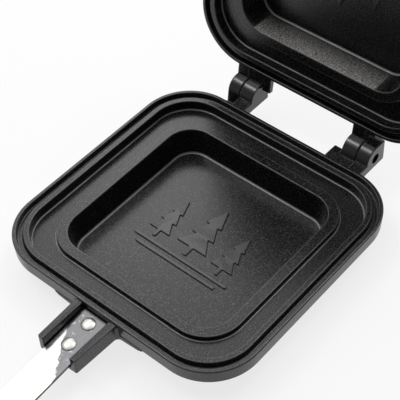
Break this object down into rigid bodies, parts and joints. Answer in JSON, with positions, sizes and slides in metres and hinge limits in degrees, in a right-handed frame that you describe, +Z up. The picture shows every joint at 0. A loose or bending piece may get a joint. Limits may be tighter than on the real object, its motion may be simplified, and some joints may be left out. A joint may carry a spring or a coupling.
{
  "type": "pie iron",
  "caption": "Hinged sandwich toaster of two square non-stick cast plates with steel strap handles, wooden grips and a wire lock bail, shown open.",
  "frame": {"origin": "middle of the lower plate's flat underside, on the table", "axes": "+Z up, +Y from the handle towards the hinge, +X to the right seen from the handle"},
  "size_m": [0.145, 0.4143, 0.3649],
  "materials": {
    "coating": "matte black speckled non-stick coating on cast aluminium",
    "strap": "polished stainless steel",
    "rivet": "polished steel",
    "pin": "plain steel",
    "wood": "oiled hardwood",
    "wire": "bright steel wire"
  },
  "bodies": {
    "base": {"base_plate": "coating", "base_strap": "strap", "base_plate_rivets": "rivet", "base_grip_upper": "wood", "base_grip_lower": "wood", "base_grip_rivets": "rivet", "base_hinge_pin": "pin"},
    "lid": {"lid_plate": "coating", "lid_strap": "strap", "lid_plate_rivets": "rivet", "lid_grip_inner": "wood", "lid_grip_outer": "wood", "lid_grip_rivets": "rivet", "lid_hinge_pin": "pin"},
    "bail": {"lock_bail": "wire"}
  },
  "joints": [
    {"name": "lid_hinge", "type": "hinge", "parent": "base", "child": "lid", "pos_m": [0, 0.0854, 0.02065], "axis": [1, 0, 0], "range_deg": [0, 98]},
    {"name": "bail_pivot", "type": "hinge", "parent": "lid", "child": "bail", "pos_m": [0, 0.14339, 0.3618], "axis": [1, 0, 0], "range_deg": [0, 246.3]}
  ]
}
